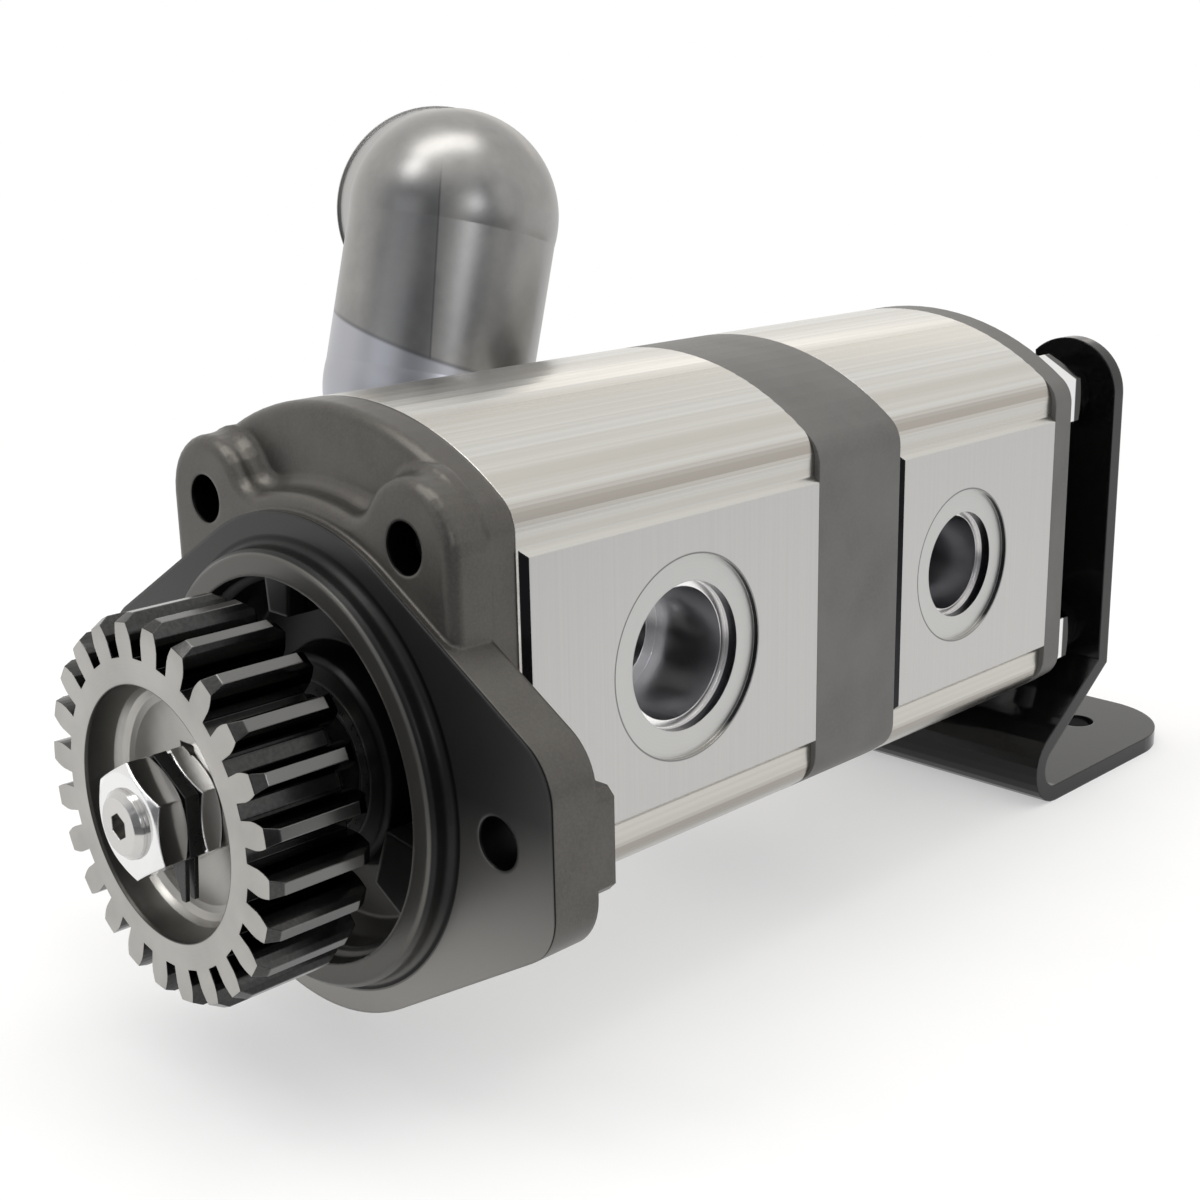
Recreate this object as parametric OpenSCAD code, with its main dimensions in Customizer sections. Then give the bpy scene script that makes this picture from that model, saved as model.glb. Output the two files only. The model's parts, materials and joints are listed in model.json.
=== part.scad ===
// Tandem external gear pump with a front drive gear, for a tractor.
// Millimetres. The shaft runs along Y with the drive gear at the front (-Y), the pressure ports
// face +X, the suction elbow is on -X and Z is up. The origin is the centre of the pilot, in the
// plane of the mounting face.

/* [Mounting flange] */
// Pilot diameter
pilot_d = 80; // [79:0.5:82]
// Height of the pilot in front of the mounting face
pilot_h = 4.5; // [3.5:0.5:6]
// Inner radius of the pilot ring
pilot_bore_r = 35.3; // [34.6:0.1:36]
// Radius of the round middle of the flange plate
flange_r = 46; // [45:0.5:48]
// Distance from one ear hole to the other
ear_spacing = 102.2; // [100:0.2:106]
// Diameter of the ear holes
ear_hole_d = 9; // [8.4:0.1:11]
// Metal beyond the centre of an ear hole
ear_reach = 12.7; // [12:0.1:14]
// Corner radius of an ear
ear_corner_r = 11; // [9:0.5:12]
// Half height of the flat end of an ear
ear_flat = 9; // [7:0.5:10]
// Thickness of an ear
ear_t = 9.7; // [9:0.1:12]
// Thickness of the pad behind an ear
ear_pad_t = 3.9; // [3:0.1:5]
// Thickness of the flange, mounting face to body
flange_t = 15.5; // [15:0.5:18]
// Radius round an upper lug
lug_r = 11.6; // [11:0.1:11.8]
// How far the lugs stand back from the mounting face
lug_back = 1.7; // [1:0.1:2.5]
// Front of the wall behind the pocket between the lugs
pocket_y = 8; // [7:0.5:9]
// Width of the strip round the plate, below the pocket
strip_w = 3; // [2:0.5:4]
// Rounding of the cast edges
cast_r = 2.2; // [1:0.2:2.6]
// Rounding in the corners of the pocket
pocket_fillet = 3; // [1:0.2:3.2]
// Rounding between a lug and the strip
lug_blend_r = 6; // [4:0.5:8]

/* [Housing] */
// Width of the housing over the port pads
housing_w = 83; // [80:0.5:86]
// Radius of the crown of the housing
crown_r = 62.3; // [60:0.1:64]
// Crown height above the middle of the housing
crown_h = 48.5; // [47:0.5:50]
// Corner radius between crown and side
corner_r = 7; // [5:0.5:9]
// Length of the front body
front_len = 77.5; // [74:0.5:82]
// Thickness of the middle plate
plate_t = 26; // [24:0.5:30]
// Length of the rear body
rear_len = 58.5; // [56:0.5:62]
// Thickness of the rear cover
cover_t = 7.5; // [6:0.5:10]
// Height of a port pad
pad_h = 52.4; // [48:0.2:54]
// How far a port pad stands proud
pad_proud = 1.2; // [0.6:0.1:2]

/* [Ports] */
// Seat radius of the front pressure port
front_port_r = 14; // [13:0.1:15]
// Width of the spot face round the front port
front_ring_w = 5.1; // [4:0.1:6]
// Front port centre, from the front end of the front body
front_port_at = 40.4; // [38:0.1:42]
// Seat radius of the rear pressure port
rear_port_r = 11.4; // [10.5:0.1:12.5]
// Width of the spot face round the rear port
rear_ring_w = 5; // [4:0.1:6]
// Rear port centre, from the front end of the rear body
rear_port_at = 23.9; // [22:0.1:26]
// Depth of a spot face
spot_depth = 0.9; // [0.5:0.1:1.2]
// Depth of a port seat below the spot face
seat_depth = 2.7; // [2:0.1:4]
// Thread hole radius of the front port
front_thread_r = 12.5; // [12:0.1:13]
// Thread hole radius of the rear port
rear_thread_r = 10.2; // [9.5:0.1:10.8]
// Radius of the suction port
suction_r = 15; // [13:0.5:16]
// Suction port centre, from the rear end of the front body
suction_at = 27; // [26:0.5:29]
// Radius of the gallery that feeds the rear section
gallery_r = 6; // [5:0.5:7]

/* [Pump gears] */
// Teeth on each pump gear
pump_teeth = 12; // [12:1:12]
// Module of the pump gears
pump_module = 2.6; // [2.5:0.05:2.65]
// Pressure angle of the pump gears
pump_pressure_angle = 25; // [24:0.5:27]
// Tooth thinning on each pump gear for backlash
pump_thinning = 0.12; // [0.08:0.01:0.2]
// Face width of the front pump gears
front_face = 31.5; // [28:0.5:34]
// Face width of the rear pump gears
rear_face = 24; // [20:0.5:26]
// Length of the front bearing block of the rear section
rear_block_len = 16; // [14:0.5:20]
// Journal radius of the pump gears
journal_r = 9; // [8:0.1:9.5]
// Radial gap of journals and gear tips
run_gap = 0.05; // [0.03:0.01:0.08]
// Gap between fixed parts that slide together
slide_gap = 0.1; // [0.05:0.05:0.2]
// Wall of a bearing bush
bush_wall = 1.5; // [1.2:0.1:2]

/* [Drive gear] */
// Teeth on the drive gear
drive_teeth = 24; // [24:1:24]
// Module of the drive gear
drive_module = 2.6; // [2.5:0.05:2.65]
// Face width of the drive gear
drive_face = 19.5; // [18:0.5:20]
// Distance from the mounting face to the front of the drive gear
drive_front = 31; // [30:0.5:33]
// Radius of the recess in the front of the drive gear
recess_r = 22.2; // [21:0.1:23]
// Depth of that recess
recess_depth = 7.3; // [6:0.1:8]
// Bevel on the ends of the teeth
tooth_bevel = 1.3; // [0.8:0.1:1.6]

/* [Shaft end] */
// Radius of the shaft in the drive gear
hub_bore_r = 8; // [7.5:0.1:8.4]
// Radius of the shaft thread
thread_r = 6; // [5.5:0.1:6.5]
// Width across flats of the shaft nuts
nut_af = 18.2; // [17:0.1:19]
// Height of the gear nut
gear_nut_h = 4; // [3.5:0.1:5]
// Thickness of the lock washer
lock_washer_t = 2.6; // [1.5:0.1:3]
// Height of the lock nut
lock_nut_h = 5.7; // [5:0.1:7]
// How far the shaft stands out of the lock nut
stub_out = 1.7; // [1:0.1:3]
// Width of the hexagon socket in the shaft end
socket_af = 4.2; // [3:0.1:5]

/* [Tie studs and bracket] */
// Distance from the shaft plane to a tie stud
stud_x = 28.8; // [28.4:0.1:29.2]
// Distance from the middle of the housing to a tie stud
stud_dz = 28.6; // [28.2:0.1:29]
// Radius of a tie stud
stud_r = 5; // [4.5:0.1:5.2]
// Radius of the tapped stud holes in the flange
stud_tap_r = 4.5; // [4.3:0.1:4.7]
// Width across flats of a tie nut
tie_nut_af = 17; // [16:0.5:18]
// Height of a tie nut
tie_nut_h = 8.4; // [7.5:0.1:10]
// Thickness of a tie washer
tie_washer_t = 2; // [1.5:0.1:2.5]
// Distance from the rear cover to the bracket
bracket_gap = 18; // [16:0.5:20]
// Thickness of the bracket sheet
bracket_t = 4; // [3:0.2:5]
// How far each side of the bracket stands in from the side of the housing
bracket_margin = 0; // [0:0.2:2]
// Lower face of the bracket foot, below the shaft
foot_drop = 51.5; // [48:0.5:54]
// Rear edge of the foot behind the bracket plate
foot_reach = 42; // [36:0.5:46]
// How far the bend of the foot lies in front of the plate
foot_forward = 26; // [22:0.5:28]

/* [Suction elbow] */
// Outer radius of the suction pipe
pipe_r = 23.6; // [22:0.1:24]
// Wall of the suction pipe
pipe_wall = 2.2; // [1.6:0.1:3]
// Distance from the side of the housing to the middle of the rising pipe
pipe_out = 26; // [25.6:0.1:28]
// Lean of the rising pipe to the rear
pipe_lean = 15; // [12:0.5:18]
// Offset of the rising pipe behind the suction port, at port height
pipe_shift = 11.5; // [9:0.5:13]
// Height of the upper corner above the suction port
pipe_rise = 72.5; // [70:0.5:78]
// Turn of the open end towards the rear
outlet_turn = 30.6; // [26:0.2:34]
// Length of the open end from the upper corner
outlet_len = 22.2; // [22:0.1:26]
// Length of the rim on the open end
rim_len = 1.2; // [0.8:0.1:1.4]
// Height of that rim above the pipe
rim_h = 0.6; // [0.4:0.1:1]
// Thickness of the elbow flange
elbow_flange_t = 9; // [8:0.5:12]
// Screw spacing of the elbow flange along the shaft
elbow_screw_y = 42; // [41:0.5:42.5]
// Screw spacing of the elbow flange in height
elbow_screw_z = 41; // [40:0.5:41.5]

/* [Hidden] */
$fn = 72;
cut = 1;
seat_gap = 0.05;
base_fillet = 1.6;
side_w = housing_w / 2 - pad_proud;
pilot_r = pilot_d / 2;
pump_pitch_r = pump_teeth * pump_module / 2;
centre_z = 2 * pump_pitch_r;
mid_z = pump_pitch_r;
crown_c = crown_h - crown_r;
pump_tip_r = pump_pitch_r + pump_module;
pump_root_r = centre_z - pump_tip_r - 0.2;
chamber_r = pump_tip_r + run_gap;
front_y = flange_t;
plate_y = front_y + front_len;
rear_y = plate_y + plate_t;
cover_y = rear_y + rear_len;
back_y = cover_y + cover_t;
front_block_len = (front_len - front_face) / 2;
front_gear_y = front_y + front_block_len;
rear_gear_y = rear_y + rear_block_len;
rear_last_len = rear_len - rear_block_len - rear_face;
front_port_y = front_y + front_port_at;
rear_port_y = rear_y + rear_port_at;
suction_y = plate_y - suction_at;
seal_in_r = chamber_r + 1.4;
seal_out_r = chamber_r + 3.4;
gallery_seal_w = 2.2;
gallery_web = 0.95;
gallery_x = seal_out_r + gallery_web + gallery_seal_w + gallery_r;
gallery_y0 = suction_y;
gallery_y1 = rear_gear_y + rear_face / 2;
ear_x = ear_spacing / 2;
ear_tip_x = ear_x + ear_reach;
stud_upper_z = mid_z + stud_dz;
stud_lower_z = mid_z - stud_dz;
stud_clear = 0.3;
dowel_r = 2.5;
dowel_depth = 5;
dowel_x = side_w - 9.8;
dowel_dz = 14;
stud_start = 7;
floor_fillet = min(pocket_fillet, pocket_y - lug_back - cast_r - 0.2);
floor_y = 9;
seal_r = 15;
seal_t = 7;
seal_y = 3.5;
seal_boss_r = 20;
stud_boss_r = 8.6;
block_y = 0.8 - pilot_h;
bush_r = journal_r + bush_wall;
bush_len = 14;
drive_pitch_r = drive_teeth * drive_module / 2;
drive_tip_r = drive_pitch_r + 1.15 * drive_module;
drive_root_r = drive_pitch_r - 1.62 * drive_module;
drive_back_y = -drive_front + drive_face;
recess_floor_y = -drive_front + recess_depth;
hub_r = 17;
hub_back_y = -4;
washer_y = recess_floor_y - gear_nut_h;
lock_nut_y = washer_y - lock_washer_t;
nut_front_y = lock_nut_y - lock_nut_h;
shaft_end_y = nut_front_y - stub_out;
coupling_r = 11.4;
coupling_len = 20;
coupling_y = plate_y + 1;
tongue_w = 7;
tongue_gap = 0.1;
tie_nut_y = back_y + tie_washer_t;
bracket_y = back_y + bracket_gap;
sleeve_y = tie_nut_y + tie_nut_h;
sleeve_r = 6.4;
bracket_nut_h = 6;
stud_end_y = bracket_y + bracket_t + bracket_nut_h + 2;
bracket_w = housing_w - 2 * bracket_margin;
lobe_r = bracket_w / 2 - stud_x;
bend_r = 9;
bend_top = 128;
knee_z = -20;
pipe_in_r = pipe_r - pipe_wall;
waist_rise = 34.4;
pipe_x = housing_w / 2 + pipe_out;
pipe_waist = [-pipe_x, suction_y + pipe_shift + waist_rise * tan(pipe_lean), mid_z + waist_rise];
pipe_upper = [-pipe_x, suction_y + pipe_shift + pipe_rise * tan(pipe_lean), mid_z + pipe_rise];
outlet_dir = [-cos(outlet_turn), sin(outlet_turn), 0];
elbow_face_x = -housing_w / 2;
elbow_back_x = elbow_face_x - elbow_flange_t;
knee_out = 11.5;
elbow_knee = [elbow_back_x - knee_out, suction_y, mid_z];
elbow_screw_r = 3;
neck_wall = 2.6;
elbow_head_r = 5;
elbow_head_h = 5.8;
seal_cord = 1.8;

aluminium = [0.80, 0.79, 0.76];
cast = [0.28, 0.27, 0.26];
iron = [0.42, 0.42, 0.41];
steel = [0.62, 0.61, 0.60];
bright = [0.88, 0.88, 0.88];
black = [0.08, 0.08, 0.08];
rubber = [0.05, 0.05, 0.06];
bronze = [0.70, 0.55, 0.32];

// Extrudes a profile drawn in X and Z from y0 to y1
module along_y(y0, y1) {
    translate([0, y1, 0])
        rotate([90, 0, 0])
            linear_extrude(y1 - y0)
                children();
}

// Turns a profile of radius and Y round the Y axis at height z
module revolve_y(z = 0) {
    translate([0, 0, z])
        rotate([-90, 0, 0])
            rotate_extrude()
                children();
}

// Round bar along Y
module rod_y(r, y0, y1, x = 0, z = 0) {
    translate([x, y1, z])
        rotate([90, 0, 0])
            cylinder(r = r, h = y1 - y0);
}

// Round bar along X
module rod_x(r, x0, x1, y, z) {
    translate([x0, y, z])
        rotate([0, 90, 0])
            cylinder(r = r, h = x1 - x0);
}

// Round bar from point a to point b
module rod(a, b, r) {
    d = b - a;
    translate(a)
        rotate([0, acos(d[2] / norm(d)), atan2(d[1], d[0])])
            cylinder(r = r, h = norm(d));
}

// Places its children at the four tie studs
module at_studs() {
    for (x = [-stud_x, stud_x], z = [stud_lower_z, stud_upper_z])
        translate([x, 0, z])
            children();
}

// Hexagon prism along Y with the corners taken off at both ends
module hex_nut_y(af, h, y0, bore) {
    corner = af / sqrt(3);
    bevel = corner - af / 2;
    difference() {
        intersection() {
            translate([0, y0 + h, 0])
                rotate([90, 30, 0])
                    cylinder(r = corner, h = h, $fn = 6);
            revolve_y()
                polygon([[0, y0], [af / 2 - 0.3, y0], [corner + 0.1, y0 + bevel * 0.6],
                    [corner + 0.1, y0 + h - bevel * 0.6], [af / 2 - 0.3, y0 + h], [0, y0 + h]]);
        }
        rod_y(bore, y0 - cut, y0 + h + cut);
    }
}

// Quarter of the housing outline, from the side up to the crown
function housing_quarter(half_w, inset) =
    let (r = corner_r - inset, big = crown_r - inset, cx = half_w - inset - r,
        cz = crown_c + sqrt(pow(big - r, 2) - cx * cx), turn = acos(cx / (big - r)))
    concat([for (i = [0 : 8]) [cx, cz] + polar(r, turn * i / 8)],
        [for (i = [1 : 12]) [0, crown_c] + polar(big, turn + (90 - turn) * i / 12)]);

// Outline of the housing: two shallow crowns joined to flat sides by corner arcs
module housing_outline(half_w, inset = 0) {
    q = housing_quarter(half_w, inset);
    n = len(q) - 1;
    translate([0, mid_z])
        polygon(concat(q, [for (i = [n - 1 : -1 : 0]) [-q[i][0], q[i][1]]],
            [for (i = [0 : n]) -q[i]], [for (i = [n - 1 : -1 : 0]) [q[i][0], -q[i][1]]]));
}

// Two round pockets side by side, as seen along the shafts
module chamber_outline(r) {
    circle(r);
    translate([0, centre_z])
        circle(r);
}

// Half the angle that a tooth covers at radius r
function half_angle(r, pitch_r, base_r, half_pitch_angle) =
    r <= base_r ? half_pitch_angle + inv_deg(pitch_r, base_r)
    : half_pitch_angle + inv_deg(pitch_r, base_r) - inv_deg(r, base_r);

// Involute function in degrees at radius r
function inv_deg(r, base_r) =
    let (a = acos(min(1, base_r / r))) tan(a) * 180 / PI - a;

// Point at radius r and angle a
function polar(r, a) = [r * cos(a), r * sin(a)];

// Gear outline with involute flanks above the base circle
module gear_outline(teeth, pitch_r, tip_r, root_r, angle, tooth_w, turn = 0, steps = 5) {
    base_r = pitch_r * cos(angle);
    half = tooth_w / 2 / pitch_r * 180 / PI;
    low = max(base_r, root_r);
    radii = [for (i = [0 : steps]) low + (tip_r - low) * i / steps];
    pitch = 360 / teeth;
    polygon([for (k = [0 : teeth - 1])
        let (a = turn + k * pitch)
            each concat(
                [polar(root_r, a - half_angle(low, pitch_r, base_r, half))],
                [for (r = radii) polar(r, a - half_angle(r, pitch_r, base_r, half))],
                [for (i = [steps : -1 : 0])
                    polar(radii[i], a + half_angle(radii[i], pitch_r, base_r, half))],
                [polar(root_r, a + half_angle(low, pitch_r, base_r, half))])]);
}

// Outline of the mounting plate: a disc with straight flanks to the two ears
module plate_outline() {
    c = [ear_tip_x - ear_corner_r, ear_flat];
    b = acos((flange_r - ear_corner_r) / norm(c)) + atan2(c[1], c[0]);
    n = [cos(b), sin(b)];
    circle(flange_r, $fn = 120);
    for (s = [-1, 1])
        scale([s, 1]) {
            polygon([[0, 0], n * flange_r, c + n * ear_corner_r, c, [ear_tip_x, ear_flat],
                [ear_tip_x, -ear_flat], [c[0], -c[1]],
                [c[0] + n[0] * ear_corner_r, -c[1] - n[1] * ear_corner_r],
                [n[0] * flange_r, -n[1] * flange_r]]);
            for (t = [-1, 1])
                translate([c[0], t * c[1]])
                    circle(ear_corner_r);
        }
}

// Right half of the boss that carries the upper lugs, from the side over the lug and its blend
// to the top of the strip. Each point is [x, z, normal x, normal z, share of the pocket fillet]
function boss_half() =
    let (disc_r = flange_r + strip_w, b = lug_blend_r, lug = [stud_x, stud_upper_z], d = norm(lug),
        a = acos((pow(disc_r + b, 2) + d * d - pow(lug_r + b, 2)) / (2 * d * (disc_r + b))),
        start = atan2(lug[1], lug[0]) + a, c = polar(disc_r + b, start),
        end = atan2(c[1] - lug[1], c[0] - lug[0]))
    concat([[stud_x + lug_r, 0, 1, 0, 0]],
        [for (i = [0 : 14]) boss_point(lug, lug_r, end * i / 14, 1, lug_share(end * i / 14))],
        [for (i = [1 : 7]) boss_point(c, b, end - 180 + (start - end) * i / 7, -1, 1)],
        [for (i = [1 : 4]) boss_point([0, 0], disc_r, start + (90 - start) * i / 4, 1, 1)]);

// Point on an arc of the boss, with its normal turned inwards on the concave blend
function boss_point(c, r, a, side, share) =
    concat(c + polar(r, a), polar(side, a), [share]);

// The fillet fades out over the outer side of a lug
function lug_share(a) = max(0, min(1, (a - 60) / 60));

// Ring of points round the boss at y, moved outwards by grow
function boss_ring(y, grow) =
    let (half = boss_half(), n = len(half),
        right = [for (p = half)
            let (g = grow > 0 ? grow * p[4] : grow) [p[0] + p[2] * g, y, p[1] + p[3] * g]])
    concat(right, [for (i = [n - 2 : -1 : 0]) [-right[i][0], y, right[i][2]]]);

// Boss with both upper lugs: rounded front edge, then a fillet down to the floor of the pocket.
// The first ring lies ahead of the flat front, which is cut afterwards
module lug_boss() {
    steps = [for (a = [22.5 : 22.5 : 90]) [lug_back + cast_r * (1 - cos(a)), -cast_r * (1 - sin(a))]];
    ahead = 3 * [lug_back, -cast_r] - 2 * steps[0];
    floor_steps = [for (b = [0 : 19 : 76])
        [pocket_y - floor_fillet * (1 - sin(b)), floor_fillet * (1 - cos(b))]];
    back = [pocket_y + cast_r, floor_fillet * (1 - cos(76))];
    profile = concat([ahead], steps, floor_steps, [back]);
    rings = [for (p = profile) boss_ring(p[0], p[1])];
    n = len(rings[0]);
    last = len(rings) - 1;
    difference() {
        polyhedron(
            points = [for (ring = rings) each ring],
            faces = concat([[for (i = [n - 1 : -1 : 0]) i]],
                [for (k = [0 : last - 1], i = [0 : n - 1])
                    each let (a = k * n + i, b = k * n + (i + 1) % n)
                        [[a, b, a + n], [b, b + n, a + n]]],
                [[for (i = [0 : n - 1]) last * n + i]]));
        translate([-housing_w, lug_back - 2 * cut, -cut])
            cube([2 * housing_w, 2 * cut, housing_w]);
    }
}

module front_flange() {
    wall_y = flange_t - seat_gap;
    color(cast)
    difference() {
        union() {
            along_y(0, ear_t)
                plate_outline();
            hull() {
                for (a = [0 : 18 : 72])
                    along_y(pocket_y + cast_r * (1 - cos(a)), pocket_y + cast_r * (1 - cos(a)) + 0.05)
                        housing_outline(side_w, cast_r * (1 - sin(a)));
                along_y(pocket_y + cast_r, wall_y)
                    housing_outline(side_w);
            }
            lug_boss();
            revolve_y()
                polygon(concat([[0, 1], [0, -pilot_h], [pilot_r - 1, -pilot_h],
                    [pilot_r, 1 - pilot_h]],
                    [for (a = [0 : 18 : 90])
                        [pilot_r + base_fillet * (1 - cos(a)), -base_fillet * (1 - sin(a))]],
                    [[pilot_r + base_fillet, 1]]));
            for (s = [-1, 1])
                scale([s, 1, 1])
                    ear_pad();
        }
        revolve_y()
            polygon([[0, -pilot_h - cut], [pilot_bore_r, -pilot_h - cut], [pilot_bore_r, -1],
                [pilot_bore_r - 1.5, 0.5], [pilot_bore_r - 1.5, 5], [pilot_bore_r - 4, floor_y],
                [0, floor_y]]);
        seal_bore();
        ear_holes();
        upper_tap_holes();
        lower_tap_holes();
        seal_groove(wall_y, -1);
        dowel_holes(flange_t);
    }
    color(cast)
        cavity_bosses();
}

// Pad behind an ear where the bolt head or nut bears, flush with the end of the ear
module ear_pad() {
    bevel = 1.5;
    inner = side_w - cut;
    along_y(ear_t - cut, ear_t + ear_pad_t)
        polygon([[inner, -ear_flat], [ear_tip_x - bevel, -ear_flat], [ear_tip_x, bevel - ear_flat],
            [ear_tip_x, ear_flat - bevel], [ear_tip_x - bevel, ear_flat], [inner, ear_flat]]);
}

module ear_holes() {
    for (s = [-1, 1])
        rod_y(ear_hole_d / 2, -cut, ear_t + ear_pad_t + cut, s * ear_x);
}

module upper_tap_holes() {
    for (s = [-1, 1])
        rod_y(stud_tap_r, -pilot_h, flange_t + cut, s * stud_x, stud_upper_z);
}

// Blind from behind, where the lower studs end
module lower_tap_holes() {
    for (s = [-1, 1])
        rod_y(stud_tap_r, stud_start - 1, flange_t + cut, s * stud_x, stud_lower_z);
}

// Bore through the flange for the shaft and its seal
module seal_bore() {
    rod_y(bush_r, floor_y - cut, flange_t + cut);
    rod_y(seal_r, seal_y - 2 * cut, seal_y + seal_t + 0.3);
}

// Inside the pilot: the boss round the seal, the bosses of the lower studs and three blocks
module cavity_bosses() {
    difference() {
        union() {
            revolve_y()
                polygon([[0, seal_y - 1], [seal_boss_r - 1, seal_y - 1], [seal_boss_r, seal_y],
                    [seal_boss_r + 1, floor_y], [seal_boss_r + 1, floor_y + 1], [0, floor_y + 1]]);
            for (s = [-1, 1])
                scale([s, 1, 1]) {
                    intersection() {
                        rod_y(stud_boss_r, 1, floor_y + 1, stud_x, stud_lower_z);
                        rod_y(pilot_bore_r, 0, floor_y + 2);
                    }
                    radial_block(-31.5, -8, 27.2);
                }
            radial_block(84.5, 95.5, 29);
        }
        rod_y(seal_r, seal_y - 2 * cut, seal_y + seal_t + 0.3);
        rod_y(bush_r, 0, flange_t + cut);
        lower_tap_holes();
    }
}

// Block that stands on the floor of the pilot and joins its wall
module radial_block(a0, a1, r_in) {
    r_out = pilot_bore_r + 1;
    along_y(block_y, floor_y + 1)
        polygon(concat([polar(r_in, a1), polar(r_in, a0)],
            [for (i = [0 : 4]) polar(r_out, a0 + (a1 - a0) * i / 4)]));
}

// Radial lip seal on the drive shaft
module shaft_seal() {
    color(rubber)
        revolve_y()
            polygon([[journal_r + run_gap, seal_y + 2], [journal_r + 1.2, seal_y + 0.4],
                [journal_r + 2.6, seal_y + 2.4], [seal_r - 1.5, seal_y + 0.2],
                [seal_r - seat_gap, seal_y + 0.2], [seal_r - seat_gap, seal_y + seal_t],
                [journal_r + 2, seal_y + seal_t], [journal_r + 1.4, seal_y + 3.4]]);
}

// Open ring that keeps the seal in its bore
module seal_snap_ring() {
    color(steel)
        difference() {
            revolve_y()
                polygon([[seal_r - 2.4, seal_y - 1], [seal_r - seat_gap, seal_y - 1],
                    [seal_r - seat_gap, seal_y + 0.1], [seal_r - 2.4, seal_y + 0.1]]);
            translate([0, seal_y - 0.5, -seal_r])
                cube([7, 4, 7], center = true);
        }
}

// Extruded body with a bevelled pad on each side
module body_shell(y0, y1) {
    bevel = pad_proud;
    half = housing_w / 2;
    along_y(y0, y1)
        housing_outline(side_w);
    for (s = [-1, 1])
        scale([s, 1, 1])
            translate([0, 0, mid_z])
                intersection() {
                    along_y(y0, y1)
                        polygon([[half - 5, -pad_h / 2 - bevel], [half - bevel, -pad_h / 2 - bevel],
                            [half, -pad_h / 2], [half, pad_h / 2],
                            [half - bevel, pad_h / 2 + bevel], [half - 5, pad_h / 2 + bevel]]);
                    translate([0, 0, -pad_h])
                        linear_extrude(2 * pad_h)
                            polygon([[half - 6, y0 + 0.6], [half - bevel, y0 + 0.6],
                                [half, y0 + 0.6 + bevel], [half, y1], [half - 6, y1]]);
                }
}

// Stepped port on the +X side with its spot face, seat and thread hole
module port_cut(y, seat_r, ring_w, thread_hole_r, inner_r, depth) {
    x = housing_w / 2;
    rod_x(seat_r + ring_w, x - spot_depth, x + cut, y, mid_z);
    rod_x(seat_r, x - spot_depth - seat_depth, x + cut, y, mid_z);
    translate([x - spot_depth, y, mid_z])
        rotate([0, 90, 0])
            cylinder(r1 = seat_r, r2 = seat_r + 0.8, h = 0.8);
    rod_x(thread_hole_r, x - depth, x, y, mid_z);
    rod_x(inner_r, 5, x, y, mid_z);
}

// Clearance holes for the four studs
module stud_holes(y0, y1) {
    at_studs()
        rod_y(stud_r + stud_clear, y0 - cut, y1 + cut);
}

// Two dowels at a joint, on opposite corners
module at_dowels() {
    for (s = [-1, 1])
        translate([s * dowel_x, 0, mid_z + s * dowel_dz])
            children();
}

module dowel_holes(y) {
    at_dowels()
        rod_y(dowel_r + seat_gap, y - dowel_depth - 0.2, y + dowel_depth + 0.2);
}

// Square groove for the seal round the chamber, open at face y
module seal_groove(y, dir) {
    y0 = dir > 0 ? y : y - seal_cord;
    along_y(y0 - (dir > 0 ? cut : 0), y0 + seal_cord + (dir > 0 ? 0 : cut))
        seal_loop(0);
}

// Racetrack loop round both chambers
module seal_loop(gap) {
    difference() {
        racetrack(seal_out_r - gap);
        racetrack(seal_in_r + gap);
    }
}

module racetrack(r) {
    chamber_outline(r);
    translate([-r, 0])
        square([2 * r, centre_z]);
}

module body_seal(y) {
    color(rubber)
        along_y(y + 0.1, y + seal_cord)
            seal_loop(0.1);
}

module front_body() {
    y0 = front_y;
    y1 = plate_y;
    color(aluminium)
    difference() {
        body_shell(y0, y1);
        along_y(y0 - cut, y1 + cut)
            chamber_outline(chamber_r);
        port_cut(front_port_y, front_port_r, front_ring_w, front_thread_r, 9.5, 20);
        rod_x(suction_r, elbow_face_x - cut, -gallery_x + 6, suction_y, mid_z);
        rod_x(9.5, -gallery_x, -5, front_gear_y + front_face / 2, mid_z);
        rod_y(gallery_r, gallery_y0, y1 + cut, -gallery_x, mid_z);
        elbow_tap_holes();
        stud_holes(y0, y1);
        dowel_holes(y0);
        dowel_holes(y1);
    }
}

module rear_body() {
    y0 = rear_y;
    y1 = cover_y;
    color(aluminium)
    difference() {
        body_shell(y0, y1);
        along_y(y0 - cut, y1 + cut)
            chamber_outline(chamber_r);
        port_cut(rear_port_y, rear_port_r, rear_ring_w, rear_thread_r, 7, 20);
        rod_y(gallery_r, y0 - cut, gallery_y1, -gallery_x, mid_z);
        rod_x(gallery_r, -gallery_x, -5, gallery_y1 - gallery_r, mid_z);
        stud_holes(y0, y1);
        dowel_holes(y0);
        dowel_holes(y1);
    }
}

module middle_plate() {
    color(iron)
    difference() {
        along_y(plate_y, rear_y)
            housing_outline(housing_w / 2);
        rod_y(coupling_r + 0.6, plate_y - cut, rear_y + cut);
        rod_y(gallery_r, plate_y - cut, rear_y + cut, -gallery_x, mid_z);
        for (y = [plate_y - cut, rear_y - 1.2])
            rod_y(gallery_r + gallery_seal_w, y, y + 1.2 + cut, -gallery_x, mid_z);
        seal_groove(plate_y, 1);
        seal_groove(rear_y, -1);
        stud_holes(plate_y, rear_y);
        dowel_holes(plate_y);
        dowel_holes(rear_y);
    }
}

module rear_cover() {
    color(iron)
    difference() {
        hull() {
            along_y(cover_y, back_y - 1)
                housing_outline(housing_w / 2);
            along_y(back_y - 0.1, back_y)
                housing_outline(housing_w / 2, 1);
        }
        seal_groove(cover_y, 1);
        stud_holes(cover_y, back_y);
        dowel_holes(cover_y);
    }
}

module flange_body_seal() {
    color(rubber)
        along_y(flange_t - seal_cord, flange_t - seat_gap - 0.1)
            seal_loop(0.1);
}

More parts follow.
